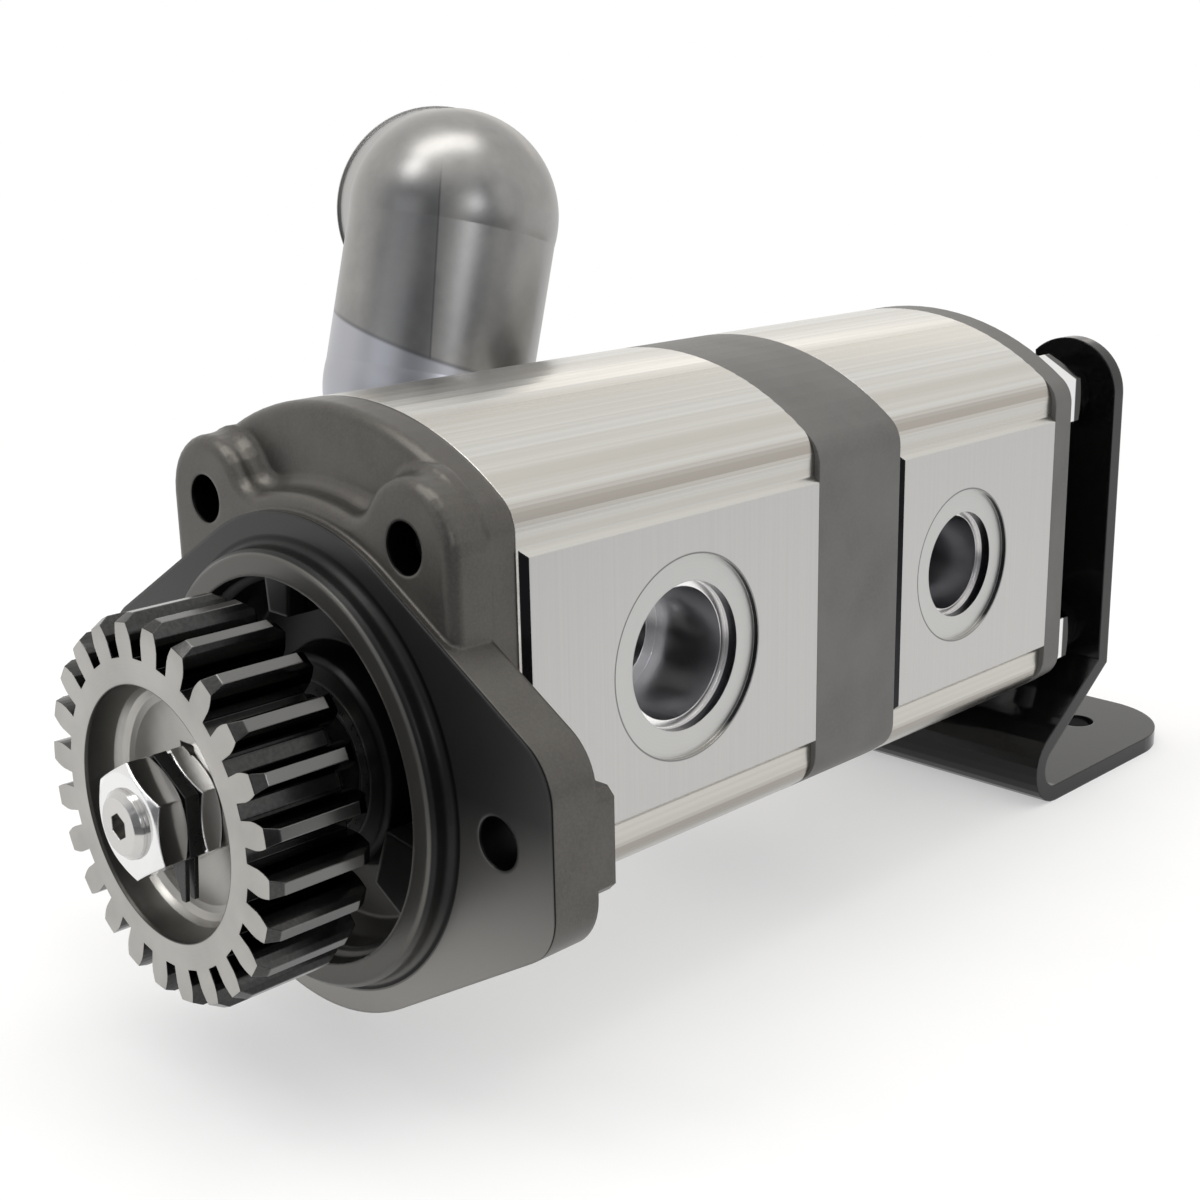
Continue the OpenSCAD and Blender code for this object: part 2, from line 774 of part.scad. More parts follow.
module plate_front_seal() {
    body_seal(plate_y);
}

module plate_rear_seal() {
    color(rubber)
        along_y(rear_y - seal_cord, rear_y - 0.1)
            seal_loop(0.1);
}

module cover_body_seal() {
    body_seal(cover_y);
}

// Bearing block for both shafts, with the pressure seal groove on its outer face
module bearing_block(y0, y1, outer) {
    r = chamber_r - slide_gap;
    groove_y = outer > 0 ? y1 - 1.2 : y0 - cut;
    relief_y = outer > 0 ? y0 - cut : y1 - 1;
    difference() {
        along_y(y0 + 0.02, y1 - 0.02)
            chamber_outline(r);
        for (z = [0, centre_z])
            rod_y(bush_r + seat_gap, y0 - cut, y1 + cut, 0, z);
        along_y(groove_y, groove_y + 1.2 + cut)
            pressure_loop(0);
        for (s = [-1, 1])
            translate([s * 7, relief_y, mid_z - 2])
                cube([9, 1 + cut, 4]);
    }
}

// Two short arcs that wall off the high pressure zone
module pressure_loop(gap) {
    for (z = [0, centre_z])
        translate([0, z])
            difference() {
                circle(bush_r + 3.2 - gap);
                circle(bush_r + 1.4 + gap);
                translate([-2 * chamber_r, -chamber_r])
                    square([2 * chamber_r, 2 * chamber_r]);
            }
}

module front_block_fore() {
    color(aluminium)
        bearing_block(front_y, front_gear_y, -1);
}

module front_block_aft() {
    color(aluminium)
        bearing_block(front_gear_y + front_face, plate_y, 1);
}

module rear_block_fore() {
    color(aluminium)
        bearing_block(rear_y, rear_gear_y, -1);
}

module rear_block_aft() {
    color(aluminium)
        bearing_block(rear_gear_y + rear_face, cover_y, 1);
}

module bush(y0, y1, z) {
    revolve_y(z)
        polygon([[journal_r + run_gap, y0], [bush_r, y0], [bush_r, y1], [journal_r + run_gap, y1]]);
}

module front_section_bushes() {
    color(bronze)
        for (z = [0, centre_z]) {
            bush(front_gear_y - bush_len, front_gear_y - 0.3, z);
            bush(front_gear_y + front_face + 0.3, front_gear_y + front_face + bush_len, z);
        }
}

module rear_section_bushes() {
    color(bronze)
        for (z = [0, centre_z]) {
            bush(rear_gear_y - bush_len, rear_gear_y - 0.3, z);
            bush(rear_gear_y + rear_face + 0.3, rear_gear_y + rear_face + bush_len, z);
        }
}

module front_pressure_seals() {
    color(rubber) {
        along_y(front_y + 0.1, front_y + 0.9)
            pressure_loop(0.1);
        along_y(plate_y - 0.9, plate_y - 0.1)
            pressure_loop(0.1);
    }
}

module rear_pressure_seals() {
    color(rubber) {
        along_y(rear_y + 0.1, rear_y + 0.9)
            pressure_loop(0.1);
        along_y(cover_y - 0.9, cover_y - 0.1)
            pressure_loop(0.1);
    }
}

// Toothed part of a pump gear
module pump_teeth_at(y0, face, z, turn) {
    translate([0, 0, z])
        along_y(y0 + run_gap, y0 + face - run_gap)
            gear_outline(pump_teeth, pump_pitch_r, pump_tip_r, pump_root_r, pump_pressure_angle,
                PI * pump_module / 2 - pump_thinning, turn);
}

// Tongue or slot across a shaft end
module tongue(y0, y1, w, r) {
    translate([-r, y0, -w / 2])
        cube([2 * r, y1 - y0, w]);
}

module front_drive_shaft_gear() {
    y_aft = coupling_y + coupling_len / 2 - 0.5;
    color(steel) {
        difference() {
            union() {
                pump_teeth_at(front_gear_y, front_face, 0, 90);
                rod_y(journal_r, hub_back_y, plate_y - 0.5);
                rod_y(hub_bore_r, recess_floor_y + 0.5, hub_back_y);
                revolve_y()
                    polygon([[0, shaft_end_y], [thread_r - 1, shaft_end_y], [thread_r, shaft_end_y + 1],
                        [thread_r, recess_floor_y + 0.5], [0, recess_floor_y + 0.5]]);
            }
            translate([0, shaft_end_y + 4, 0])
                rotate([90, 30, 0])
                    cylinder(r = socket_af / sqrt(3), h = 5, $fn = 6);
            key_space(0);
        }
        intersection() {
            tongue(plate_y - 1, y_aft, tongue_w, 8);
            rod_y(8, plate_y - 1, y_aft);
        }
    }
}

module front_driven_gear() {
    color(steel) {
        pump_teeth_at(front_gear_y, front_face, centre_z, 90 + 180 / pump_teeth);
        rod_y(journal_r, front_y + 1, plate_y - 1, 0, centre_z);
    }
}

// Sleeve with a slot right across it that joins the two drive shafts
module shaft_coupling() {
    y1 = coupling_y + coupling_len;
    color(steel)
        difference() {
            rod_y(coupling_r, coupling_y, y1);
            intersection() {
                tongue(coupling_y - cut, y1 + cut, tongue_w + 2 * tongue_gap, 8 + tongue_gap);
                rod_y(8 + tongue_gap, coupling_y - cut, y1 + cut);
            }
        }
}

module rear_drive_gear() {
    y_fore = coupling_y + coupling_len / 2 + 0.5;
    color(steel) {
        pump_teeth_at(rear_gear_y, rear_face, 0, 90);
        rod_y(journal_r, rear_y + 0.5, cover_y - 1);
        intersection() {
            tongue(y_fore, rear_y + 1, tongue_w, 8);
            rod_y(8, y_fore, rear_y + 1);
        }
    }
}

module rear_driven_gear() {
    color(steel) {
        pump_teeth_at(rear_gear_y, rear_face, centre_z, 90 + 180 / pump_teeth);
        rod_y(journal_r, rear_y + 1, cover_y - 1, 0, centre_z);
    }
}

module dowel_pins() {
    color(steel)
        for (y = [front_y, plate_y, rear_y, cover_y])
            at_dowels()
                rod_y(dowel_r, y - dowel_depth, y + dowel_depth);
}

// Rings that seal the gallery between the sections
module gallery_seals() {
    color(rubber)
        for (y = [plate_y + 0.05, rear_y - 1.15])
            translate([-gallery_x, 0, mid_z])
                revolve_y()
                    translate([gallery_r + 0.3, y])
                        square([gallery_seal_w - 0.4, 1.1]);
}

module tie_studs() {
    color(steel)
        at_studs()
            revolve_y()
                polygon([[0, stud_start], [stud_tap_r - 1, stud_start],
                    [stud_tap_r - seat_gap, stud_start + 1], [stud_tap_r - seat_gap, flange_t - 0.5],
                    [stud_r, flange_t + 0.5], [stud_r, stud_end_y - 1], [stud_r - 1, stud_end_y],
                    [0, stud_end_y]]);
}

module tie_washers() {
    color(bright)
        at_studs()
            revolve_y()
                polygon([[stud_r + 0.25, back_y], [tie_nut_af / 2 + 1, back_y],
                    [tie_nut_af / 2 + 1, tie_nut_y - 0.3], [tie_nut_af / 2 + 0.7, tie_nut_y],
                    [stud_r + 0.25, tie_nut_y]]);
}

module tie_nuts() {
    color(bright)
        at_studs()
            hex_nut_y(tie_nut_af, tie_nut_h, tie_nut_y, stud_r);
}

// Sleeves that hold the bracket off the tie nuts
module bracket_sleeves() {
    color(black)
        at_studs()
            revolve_y()
                polygon([[stud_r + 0.25, sleeve_y], [sleeve_r, sleeve_y], [sleeve_r, bracket_y],
                    [stud_r + 0.25, bracket_y]]);
}

module bracket_nuts() {
    color(steel)
        at_studs()
            hex_nut_y(tie_nut_af, bracket_nut_h, bracket_y + bracket_t, stud_r);
}

// Front view of the bracket plate, with a lobe round each upper stud
module bracket_face() {
    low = -foot_drop - cut;
    saddle_r = stud_x - lobe_r + 4;
    difference() {
        union() {
            translate([-bracket_w / 2, low])
                square([bracket_w, stud_upper_z - low]);
            for (s = [-1, 1])
                translate([s * stud_x, stud_upper_z])
                    circle(lobe_r);
            translate([-stud_x, stud_upper_z - cut])
                square([2 * stud_x, lobe_r * 0.55 + cut]);
        }
        translate([0, stud_upper_z + lobe_r * 0.55])
            circle(saddle_r);
    }
}

// Point on a bend of radius r about c
function bend_point(c, r, a) = [c[0] + r * cos(a), c[1] + r * sin(a)];

// Side view of the bracket sheet in Y and Z: plate, slanted web, tight bend, foot
module bracket_side() {
    y1 = bracket_y + bracket_t;
    top = stud_upper_z + lobe_r + cut;
    bend = [bracket_y - foot_forward + bend_r, bend_r - foot_drop];
    sweep = 270 - bend_top;
    outer = [for (i = [0 : 10]) bend_point(bend, bend_r, bend_top + sweep * i / 10)];
    inner = [for (i = [10 : -1 : 0]) bend_point(bend, bend_r - bracket_t, bend_top + sweep * i / 10)];
    foot_y = y1 + foot_reach;
    polygon(concat([[bracket_y, top], [bracket_y, knee_z]], outer,
        [[bend[0], -foot_drop], [foot_y, -foot_drop], [foot_y, bracket_t - foot_drop],
            [bend[0], bracket_t - foot_drop]], inner, [[y1, knee_z - 1.6], [y1, top]]));
}

module rear_bracket() {
    foot_y = bracket_y + bracket_t + foot_reach;
    foot_r = 20;
    half = bracket_w / 2;
    color(black)
    difference() {
        intersection() {
            translate([-half, 0, 0])
                rotate([90, 0, 90])
                    linear_extrude(bracket_w)
                        bracket_side();
            along_y(bracket_y - foot_forward - 5, foot_y + cut)
                bracket_face();
            translate([0, 0, -foot_drop - cut])
                linear_extrude(foot_drop + stud_upper_z + lobe_r + 2 * cut)
                    foot_plan(half, foot_y, foot_r);
        }
        at_studs()
            rod_y(stud_r + stud_clear, bracket_y - cut, bracket_y + bracket_t + cut);
        for (s = [-1, 1])
            translate([s * foot_hole_x(half), foot_y - foot_r, -foot_drop - cut])
                cylinder(r = 4.5, h = bracket_t + 2 * cut);
    }
}

function foot_hole_x(half) = half - 20;

// Plan of the bracket with its rounded rear corners
module foot_plan(half, foot_y, r) {
    start = bracket_y - foot_forward - 5;
    translate([-half, start])
        square([2 * half, foot_y - r - start]);
    translate([r - half, start])
        square([2 * (half - r), foot_y - start]);
    for (s = [-1, 1])
        translate([s * (half - r), foot_y - r])
            circle(r);
}

// Places its children at the three screws of the elbow flange, clear of the rising pipe
module at_elbow_screws() {
    for (p = [[-1, -1], [-1, 1], [1, -1]])
        translate([0, suction_y + p[0] * elbow_screw_y / 2, mid_z + p[1] * elbow_screw_z / 2])
            children();
}

module elbow_tap_holes() {
    at_elbow_screws()
        rod_x(elbow_screw_r - 0.3, elbow_face_x - cut, elbow_face_x + 11, 0, 0);
}

// Inside or outside of the wide pipe: round bottom, rising part, corner and open end
module pipe_run(r, out) {
    end = pipe_upper + outlet_dir * (outlet_len + out);
    $fn = 48;
    translate(pipe_waist)
        sphere(r + 0.2);
    rod(pipe_waist, pipe_upper, r);
    translate(pipe_upper)
        sphere(r + 0.2);
    rod(pipe_upper, end, r);
}

// Inside or outside of the narrow neck between flange and wide pipe
module neck_run(r, start_x, top) {
    $fn = 48;
    rod_x(r, elbow_knee[0], start_x, suction_y, mid_z);
    translate(elbow_knee)
        sphere(r + 0.2);
    rod(elbow_knee, elbow_knee + (pipe_waist - elbow_knee) * top, r);
}

// Round flange with three screw ears
module elbow_flange_outline() {
    circle(suction_r + 6);
    for (p = [[-1, -1], [-1, 1], [1, -1]]) {
        ear = [p[0] * elbow_screw_y / 2, p[1] * elbow_screw_z / 2];
        translate(ear)
            circle(elbow_head_r + 1.2);
        rotate(atan2(ear[1], ear[0]))
            translate([0, -elbow_head_r - 1.2])
                square([norm(ear), 2 * elbow_head_r + 2.4]);
    }
}

// Flange and neck that carry the wide pipe
module suction_neck() {
    color(steel)
    difference() {
        union() {
            translate([elbow_back_x, suction_y, mid_z])
                rotate([90, 0, 90])
                    linear_extrude(elbow_flange_t)
                        elbow_flange_outline();
            neck_run(suction_r + neck_wall, elbow_back_x + 1, 0.7);
        }
        neck_run(suction_r, elbow_face_x + cut, 0.8);
        rod_x(suction_r + 3.2, elbow_face_x - 1.8, elbow_face_x + cut, suction_y, mid_z);
        at_elbow_screws() {
            rod_x(elbow_screw_r + 0.3, elbow_back_x - cut, elbow_face_x + cut, 0, 0);
            rod_x(elbow_head_r + 0.4, elbow_back_x - 6, elbow_back_x, 0, 0);
        }
    }
}

// Wide pipe with its corner and rimmed open end, welded over the neck
module suction_elbow() {
    end = pipe_upper + outlet_dir * outlet_len;
    color(steel)
    difference() {
        union() {
            pipe_run(pipe_r, 0);
            rod(end - outlet_dir * rim_len, end, pipe_r + rim_h);
        }
        pipe_run(pipe_in_r, pipe_r);
        rod(elbow_knee, pipe_waist, suction_r + neck_wall + seat_gap);
    }
}

module elbow_screws() {
    head_x = elbow_back_x;
    color(black)
        at_elbow_screws()
            difference() {
                union() {
                    rod_x(elbow_head_r, head_x - elbow_head_h, head_x, 0, 0);
                    rod_x(elbow_screw_r - 0.3 - seat_gap, head_x, elbow_face_x + 10, 0, 0);
                }
                translate([head_x - elbow_head_h - cut, 0, 0])
                    rotate([0, 90, 0])
                        cylinder(r = 2.9, h = 3.5 + cut, $fn = 6);
            }
}

module elbow_seal() {
    color(rubber)
        translate([elbow_face_x - 1.7, suction_y, mid_z])
            rotate([0, 90, 0])
                difference() {
                    cylinder(r = suction_r + 3.1, h = 1.6);
                    translate([0, 0, -cut])
                        cylinder(r = suction_r + 1.2, h = 1.6 + 2 * cut);
                }
}

// Half-round key space between shaft and drive gear
module key_space(gap) {
    translate([0, (recess_floor_y + drive_back_y) / 2, hub_bore_r - 2.6])
        rotate([0, 90, 0])
            intersection() {
                cylinder(r = 5 + gap, h = 4 + 2 * gap, center = true);
                translate([-6, 0, 0])
                    cube([12 + 5.2, 20, 20], center = true);
            }
}

module gear_key() {
    color(steel)
        key_space(-0.03);
}

// Front drive gear: bevelled teeth, dished front, hub that runs back to the shaft shoulder
module drive_gear() {
    y0 = -drive_front;
    y1 = drive_back_y;
    low = drive_tip_r - tooth_bevel;
    blend = 3.5;
    floor_y0 = recess_floor_y;
    color(steel)
    difference() {
        union() {
            intersection() {
                along_y(y0, y1)
                    gear_outline(drive_teeth, drive_pitch_r, drive_tip_r, drive_root_r, 17,
                        PI * drive_module * 0.54, 9.2, 4);
                revolve_y()
                    polygon([[0, y0], [low, y0], [drive_tip_r + 0.1, y0 + 1.8 * tooth_bevel],
                        [drive_tip_r + 0.1, y1 - 1.8 * tooth_bevel], [low, y1], [0, y1]]);
            }
            revolve_y()
                polygon([[0, y1 - 1], [hub_r + 1, y1 - 1], [hub_r, y1 + 1], [hub_r, hub_back_y - 1],
                    [hub_r - 1, hub_back_y], [0, hub_back_y]]);
        }
        revolve_y()
            polygon(concat([[0, y0 - cut], [recess_r + cut * 0.5, y0 - cut], [recess_r, y0 + 0.5],
                [recess_r - 0.6, floor_y0 - blend]],
                [for (a = [0 : 22.5 : 90])
                    [recess_r - 0.6 - blend * (1 - cos(a)), floor_y0 - blend * (1 - sin(a))]],
                [[0, floor_y0]]));
        rod_y(hub_bore_r, floor_y0 - cut, hub_back_y + cut);
        revolve_y()
            polygon([[hub_r + 3, y1 + cut], [drive_root_r - 4, y1 + cut], [drive_root_r - 4.5, y1 - 3],
                [hub_r + 3.5, y1 - 3]]);
        key_slot();
    }
}

// Keyway along the bore of the drive gear
module key_slot() {
    translate([-2, recess_floor_y - cut, hub_bore_r - 3])
        cube([4, hub_back_y - recess_floor_y + 2 * cut, 5.7]);
}

module gear_nut() {
    color(bright)
        hex_nut_y(nut_af, gear_nut_h, washer_y, thread_r);
}

// Hexagonal washer with two tabs bent down over the flats
module tab_lock_washer() {
    corner = nut_af / sqrt(3);
    tab_len = 3.6;
    color(black)
    difference() {
        union() {
            translate([0, washer_y - 0.02, 0])
                rotate([90, 30, 0])
                    cylinder(r = corner, h = lock_washer_t - 0.04, $fn = 6);
            for (y = [lock_nut_y + 0.03, washer_y - 0.83])
                translate([0, y + 0.8, 0])
                    rotate([90, 0, 0])
                        linear_extrude(0.8)
                            polygon([[2.6, -nut_af / 2 + 3], [7.6, -nut_af / 2 + 5],
                                [6.4, -corner - tab_len], [5.2, -corner - tab_len]]);
        }
        rod_y(thread_r, lock_nut_y - cut, washer_y + cut);
    }
}

module lock_nut() {
    color(bright)
        hex_nut_y(nut_af, lock_nut_h, nut_front_y, thread_r);
}

front_flange();
shaft_seal();
seal_snap_ring();
front_body();
middle_plate();
rear_body();
rear_cover();
flange_body_seal();
plate_front_seal();
plate_rear_seal();
cover_body_seal();
front_block_fore();
front_block_aft();
rear_block_fore();
rear_block_aft();
front_section_bushes();
rear_section_bushes();
front_pressure_seals();
rear_pressure_seals();
front_drive_shaft_gear();
front_driven_gear();
shaft_coupling();
rear_drive_gear();
rear_driven_gear();
dowel_pins();
gallery_seals();
tie_studs();
tie_washers();
tie_nuts();
bracket_sleeves();
rear_bracket();
bracket_nuts();
suction_neck();
suction_elbow();
elbow_screws();
elbow_seal();
drive_gear();
gear_key();
gear_nut();
tab_lock_washer();
lock_nut();
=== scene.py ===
import json
import math

import bpy
from mathutils import Matrix, Vector


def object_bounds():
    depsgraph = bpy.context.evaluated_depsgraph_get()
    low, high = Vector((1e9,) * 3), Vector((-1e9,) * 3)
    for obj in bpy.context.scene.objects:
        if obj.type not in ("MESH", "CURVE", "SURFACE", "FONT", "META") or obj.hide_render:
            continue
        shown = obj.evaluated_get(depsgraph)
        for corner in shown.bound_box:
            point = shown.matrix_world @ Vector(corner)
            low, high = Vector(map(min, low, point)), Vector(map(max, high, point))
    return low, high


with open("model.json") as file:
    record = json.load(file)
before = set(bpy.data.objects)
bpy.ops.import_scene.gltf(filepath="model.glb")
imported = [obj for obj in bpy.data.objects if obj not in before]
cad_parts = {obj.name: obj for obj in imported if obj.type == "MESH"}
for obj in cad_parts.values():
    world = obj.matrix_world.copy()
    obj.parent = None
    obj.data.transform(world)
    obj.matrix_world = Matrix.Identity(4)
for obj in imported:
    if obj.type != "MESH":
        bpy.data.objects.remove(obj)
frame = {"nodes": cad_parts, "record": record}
cad_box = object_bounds()
nodes = frame["nodes"]

# Sizes and places are in metres, as in the CAD source. X points to the ports, Y runs along the shafts to
# the rear, Z points up, and the origin is the pilot's centre on the mounting face.
# The floor under the bracket's foot, and the middle of the pump's section and of its length
FLOOR_Z = cad_box[0][2]
BODY_MID_Z = 0.0156
PUMP_Y = 0.09

# Upper stud holes and ear holes of the flange, and the radius that takes in their walls
STUD_X = 0.0288
STUD_TOP_Z = 0.0442
EAR_X = 0.0511
HOLE_WALL_R = 0.00452

# Pilot: outer radius of the fillet at its foot, radius of its bore, its front, and the depth behind the
# mounting face to which its inside is shaded
PILOT_FILLET_R = 0.0416
PILOT_BORE_R = 0.0353
PILOT_FRONT_Y = -0.0045
PILOT_BACK_Y = 0.012

# Where the painted dark reflection of the bracket starts on the tie nuts
NUT_MIRROR_Y = 0.1924

# Distances of the body's faces from the middle: its side, the pads on it, and in each port the floor of
# the round seat and the step
SIDE_X = 0.0403
PAD_X = 0.0415
SEAT_X = 0.0406
STEP_X = 0.0388

# Each port: its Y, the radius of its bore and the radius of its seat. The seat's turned rings are waves
# of so many radians to the metre.
PORTS = ((0.0559, 0.014, 0.0191), (0.1429, 0.0114, 0.0164))
SEAT_WAVES = 9000.0

# Radii of the drive gear at the tooth roots, the tooth tips and the dished front
GEAR_ROOT_R = 0.027
GEAR_TIP_R = 0.0342
GEAR_DISH_R = 0.0222

# Suction pipe: about where its axis stands at the slanted seam, the axis's slope in Y and the seam's slope
# in X. The upright weld seam has a direction across the pipe, a slope, and a middle and top height.
PIPE_X = -0.0675
PIPE_Y = 0.088
PIPE_SEAM_Z = 0.0607
PIPE_LEAN = 0.268
PIPE_SEAM_SLOPE = 0.265
WELD_ACROSS = (0.68, 0.73)
WELD_SLOPE = 0.1
WELD_MID_Z = 0.0754
WELD_TOP_Z = 0.094

# Camera: its place, the direction from the pump to it, its roll in degrees and its lens in millimetres
CAMERA_PLACE = (0.2488, -0.1715, 0.1137)
CAMERA_BACK = (0.68441, -0.67634, 0.27229)
CAMERA_ROLL = -1.154
CAMERA_LENS = 53.38

# The camera's side of the room, as a level direction, and how bright the room is there
NEAR_SIDE = (0.711, -0.703, 0.0)
NEAR_LEVEL = 0.26

# Distances from the pump's middle at which the floor starts to turn white and is white, and distances
# in front of the pump from which the floor turns dark in reflections
WHITE_START, WHITE_FULL = 0.16, 0.6
DARK_START, DARK_FULL = 0.1, 0.22

# What the lamps look at, and the height round which most of them stand
LAMP_AIM = (0.0, PUMP_Y, 0.02)
LAMP_CENTRE_Z = 0.03


# Node helpers
def material(name):
    mat = bpy.data.materials.new(name)
    mat.use_nodes = True
    return mat, mat.node_tree


def feed(tree, socket, value):
    """Links a socket to another one, or sets it to a number or a colour."""
    if isinstance(value, bpy.types.NodeSocket):
        tree.links.new(value, socket)
    elif isinstance(value, tuple):
        socket.default_value = (*value, 1.0)
    else:
        socket.default_value = value


def surface(mat, base, metallic, rough, normal):
    """Fills in the principled shader of a material."""
    tree = mat.node_tree
    inputs = tree.nodes["Principled BSDF"].inputs
    feed(tree, inputs["Base Color"], base)
    feed(tree, inputs["Metallic"], metallic)
    feed(tree, inputs["Roughness"], rough)
    feed(tree, inputs["Normal"], normal)
    return mat


def separate(tree, vector):
    node = tree.nodes.new("ShaderNodeSeparateXYZ")
    tree.links.new(vector, node.inputs[0])
    return node.outputs


def position(tree):
    """X, Y and Z of the point, in the frame of the CAD source."""
    return separate(tree, tree.nodes.new("ShaderNodeTexCoord").outputs["Object"])


def direction(tree):
    """X, Y and Z of the surface's normal."""
    return separate(tree, tree.nodes.new("ShaderNodeTexCoord").outputs["Normal"])


def coords(tree, stretch=(1, 1, 1)):
    tex = tree.nodes.new("ShaderNodeTexCoord")
    mapping = tree.nodes.new("ShaderNodeMapping")
    mapping.inputs["Scale"].default_value = stretch
    tree.links.new(tex.outputs["Object"], mapping.inputs["Vector"])
    return mapping.outputs["Vector"]


def noise(tree, scale, detail=3.0, rough=0.55, stretch=(1, 1, 1)):
    node = tree.nodes.new("ShaderNodeTexNoise")
    node.inputs["Scale"].default_value = scale
    node.inputs["Detail"].default_value = detail
    node.inputs["Roughness"].default_value = rough
    tree.links.new(coords(tree, stretch), node.inputs["Vector"])
    return node.outputs["Fac"]


def turned_rings(tree):
    """Fine rings round the Y axis, as a turning tool leaves them."""
    node = tree.nodes.new("ShaderNodeTexWave")
    node.wave_type = "RINGS"
    node.rings_direction = "Y"
    node.inputs["Scale"].default_value = 420.0
    node.inputs["Distortion"].default_value = 1.5
    node.inputs["Detail"].default_value = 2.0
    tree.links.new(coords(tree), node.inputs["Vector"])
    return node.outputs["Fac"]


def calc(tree, operation, a, b=None):
    node = tree.nodes.new("ShaderNodeMath")
    node.operation = operation
    feed(tree, node.inputs[0], a)
    if b is not None:
        feed(tree, node.inputs[1], b)
    return node.outputs[0]


def absolute(tree, value):
    return calc(tree, "ABSOLUTE", value)


def difference(tree, a, b):
    return calc(tree, "SUBTRACT", a, b)


def product(tree, first, *others):
    for other in others:
        first = calc(tree, "MULTIPLY", first, other)
    return first


def largest(tree, a, b):
    return calc(tree, "MAXIMUM", a, b)


def weighted(tree, *parts):
    """Sum of values, each times its weight."""
    total = None
    for value, weight in parts:
        part = product(tree, value, weight)
        total = part if total is None else calc(tree, "ADD", total, part)
    return total


def distance(tree, a, b):
    """Length of the vector with the legs a and b."""
    squares = calc(tree, "ADD", product(tree, a, a), product(tree, b, b))
    return calc(tree, "SQRT", squares)


def remap(tree, value, low, high, to_low, to_high, smooth=False):
    """The value's range from low to high carried over to the range from to_low to to_high."""
    node = tree.nodes.new("ShaderNodeMapRange")
    node.clamp = True
    if smooth:
        node.interpolation_type = "SMOOTHSTEP"
    tree.links.new(value, node.inputs["Value"])
    node.inputs["From Min"].default_value = low
    node.inputs["From Max"].default_value = high
    node.inputs["To Min"].default_value = to_low
    node.inputs["To Max"].default_value = to_high
    return node.outputs["Result"]


def above(tree, value, edge, soft, smooth=False):
    """Mask: 0 up to the edge, 1 from edge + soft on."""
    return remap(tree, value, edge, edge + soft, 0, 1, smooth)


def below(tree, value, edge, soft, smooth=False):
    """Mask: 1 up to the edge, 0 from edge + soft on."""
    return remap(tree, value, edge, edge + soft, 1, 0, smooth)


def rest(tree, mask):
    """Mask of all that the given mask leaves out."""
    return difference(tree, 1.0, mask)


def in_hole(tree, x, z, centre_x, centre_z, radius):
    """Mask of what lies within a radius round an axis along Y."""
    away = distance(tree, difference(tree, x, centre_x), difference(tree, z, centre_z))
    return below(tree, away, radius, 0.0001)


def mix_value(tree, mask, a, b):
    node = tree.nodes.new("ShaderNodeMix")
    node.data_type = "FLOAT"
    feed(tree, node.inputs[0], mask)
    feed(tree, node.inputs[2], a)
    feed(tree, node.inputs[3], b)
    return node.outputs[0]


def mix_colour(tree, mask, a, b):
    """Colour a where the mask is 0, b where it is 1."""
    node = tree.nodes.new("ShaderNodeMix")
    node.data_type = "RGBA"
    feed(tree, node.inputs[0], mask)
    feed(tree, node.inputs[6], a)
    feed(tree, node.inputs[7], b)
    return node.outputs[2]


def blend(tree, value, low, high, start, end, smooth=False):
    """Colour that goes from start to end while the value goes from low to high."""
    return mix_colour(tree, remap(tree, value, low, high, 0, 1, smooth), start, end)


def bump(tree, height, depth, strength, normal=None):
    node = tree.nodes.new("ShaderNodeBump")
    node.inputs["Distance"].default_value = depth
    node.inputs["Strength"].default_value = strength
    tree.links.new(height, node.inputs["Height"])
    if normal is not None:
        tree.links.new(normal, node.inputs["Normal"])
    return node.outputs["Normal"]


def edge_round(tree, radius, samples=6):
    node = tree.nodes.new("ShaderNodeBevel")
    node.samples = samples
    node.inputs["Radius"].default_value = radius
    return node.outputs["Normal"]


def srgb(red, green, blue):
    """Linear colour of a screen colour that is given from 0 to 255."""
    def linear(level):
        level /= 255.0
        return level / 12.92 if level <= 0.04045 else ((level + 0.055) / 1.055) ** 2.4
    return (linear(red), linear(green), linear(blue))


# Plain machined metal: fine grain, slight tone changes, rounded edges
def metal(name, colour, rough, metallic=1.0, grain=900, variation=0.06, edge=0.0003):
    mat, tree = material(name)
    cloud = noise(tree, 45.0)
    fine = noise(tree, 1.0, 4.0, stretch=(grain, grain, grain))
    tone = weighted(tree, (fine, 0.5), (cloud, 0.5))
    dark = tuple(c * (1 - variation) for c in colour)
    light = tuple(min(1.0, c * (1 + variation)) for c in colour)
    base = blend(tree, tone, 0.35, 0.65, dark, light)
    worn = remap(tree, fine, 0.3, 0.7, rough * 0.85, rough * 1.15)
    return surface(mat, base, metallic, worn, bump(tree, fine, 0.00002, 0.25, edge_round(tree, edge)))
